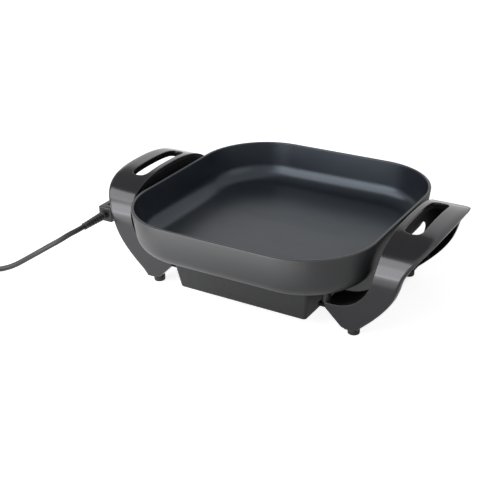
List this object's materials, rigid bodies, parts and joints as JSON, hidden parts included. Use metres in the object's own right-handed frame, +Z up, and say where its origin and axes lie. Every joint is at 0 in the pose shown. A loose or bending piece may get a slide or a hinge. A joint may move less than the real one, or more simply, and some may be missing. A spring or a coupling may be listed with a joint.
{
  "type": "electric skillet",
  "caption": "Square electric skillet: a coated cast pan with an open top, arched handles that are its legs, a base guard, and a plug-in temperature control with a slide lever and a cord.",
  "frame": {"origin": "on the counter, under the centre of the pan", "axes": "+Z up, +X towards the right-hand handle with the control at the -X side, -Y towards the cook"},
  "size_m": [0.6884, 0.4364, 0.124],
  "materials": {
    "coated_cast": "cast, with a satin dark non-stick coating",
    "black_moulding": "glossy black heat-proof moulding",
    "guard_moulding": "matte dark grey moulding",
    "element_sheath": "heat-dulled steel sheath",
    "plated_steel": "plated steel",
    "porcelain": "unglazed porcelain",
    "shroud_steel": "black painted sheet steel",
    "foot_rubber": "matte black rubber",
    "control_moulding": "satin black heat-proof moulding",
    "lever_moulding": "black moulding",
    "insulator": "brown insulating moulding",
    "contact_brass": "bright brass",
    "cord_rubber": "black cord sheath",
    "tie_wrap": "black tie"
  },
  "bodies": {
    "skillet": {"pan": "coated_cast", "heating_element": "element_sheath", "terminal_pins": "plated_steel", "inlet_block": "porcelain", "inlet_shroud": "shroud_steel", "inlet_screws": "plated_steel", "base_guard": "guard_moulding", "guard_standoffs": "plated_steel", "guard_screws": "plated_steel", "handle_left": "black_moulding", "handle_right": "black_moulding", "handle_screws": "plated_steel", "foot_front_left": "foot_rubber", "foot_front_right": "foot_rubber", "foot_back_left": "foot_rubber", "foot_back_right": "foot_rubber", "foot_screws": "plated_steel"},
    "control": {"control_base": "control_moulding", "control_cover": "control_moulding", "control_screws": "plated_steel", "socket_block": "insulator", "socket_sleeves": "contact_brass", "probe": "plated_steel", "push_rod": "porcelain", "bus_bars": "contact_brass", "thermostat_frame": "plated_steel", "contact_blades": "contact_brass", "cord_grip": "insulator", "strain_relief": "cord_rubber", "cord": "cord_rubber", "cord_coil": "cord_rubber", "cord_tie": "tie_wrap", "plug_body": "cord_rubber", "plug_blades": "plated_steel"},
    "lever": {"control_lever": "lever_moulding", "slide_cam": "insulator"},
    "adjuster": {"adjuster_pin": "contact_brass"}
  },
  "joints": [
    {"name": "control_unplug", "type": "slide", "parent": "skillet", "child": "control", "axis": [-1, 0, 0], "range_m": [0, 0.1]},
    {"name": "lever_slide", "type": "slide", "parent": "control", "child": "lever", "axis": [0, -1, 0], "range_m": [0, 0.045]},
    {"name": "adjuster_drop", "type": "slide", "parent": "control", "child": "adjuster", "axis": [0, 0, -1], "range_m": [0, 0.00301]}
  ],
  "couplings": [
    {"joint": "adjuster_drop", "follows": "lever_slide", "ratio": 0.066667}
  ]
}
